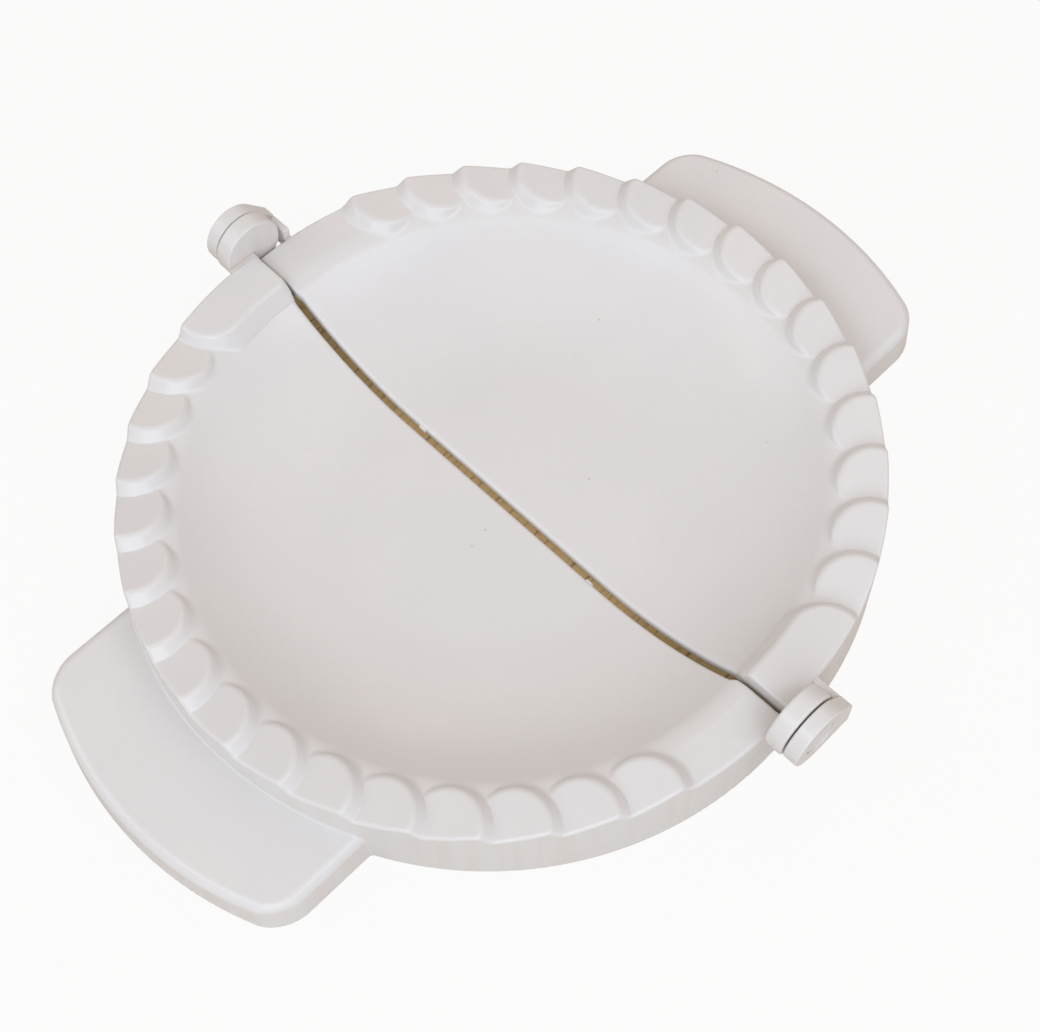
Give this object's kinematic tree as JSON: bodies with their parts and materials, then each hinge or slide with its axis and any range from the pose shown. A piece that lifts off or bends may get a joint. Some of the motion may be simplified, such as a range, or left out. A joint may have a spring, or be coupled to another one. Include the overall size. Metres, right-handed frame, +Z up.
{
  "type": "empanada press",
  "caption": "Folding dough press in white plastic: hinged half-round bowls with handle tongues and rims of overlapping crimping scales, lying open and flat.",
  "frame": {"origin": "on the table plane, straight below the middle of the hinge line", "axes": "+X along the hinge line, +Y from the near half to the far half across both handles, +Z up"},
  "size_m": [0.1442, 0.1742, 0.0225],
  "materials": {
    "moulding_plastic": "glossy off-white moulded plastic",
    "pin_plastic": "glossy off-white moulded plastic"
  },
  "bodies": {
    "near": {"near_half": "moulding_plastic", "hinge_pin_left": "pin_plastic", "hinge_pin_right": "pin_plastic"},
    "far": {"far_half": "moulding_plastic"}
  },
  "joints": [
    {"name": "fold_hinge", "type": "hinge", "parent": "near", "child": "far", "pos_m": [0, 0, 0.0163], "axis": [1, 0, 0], "range_deg": [0, 180]}
  ]
}
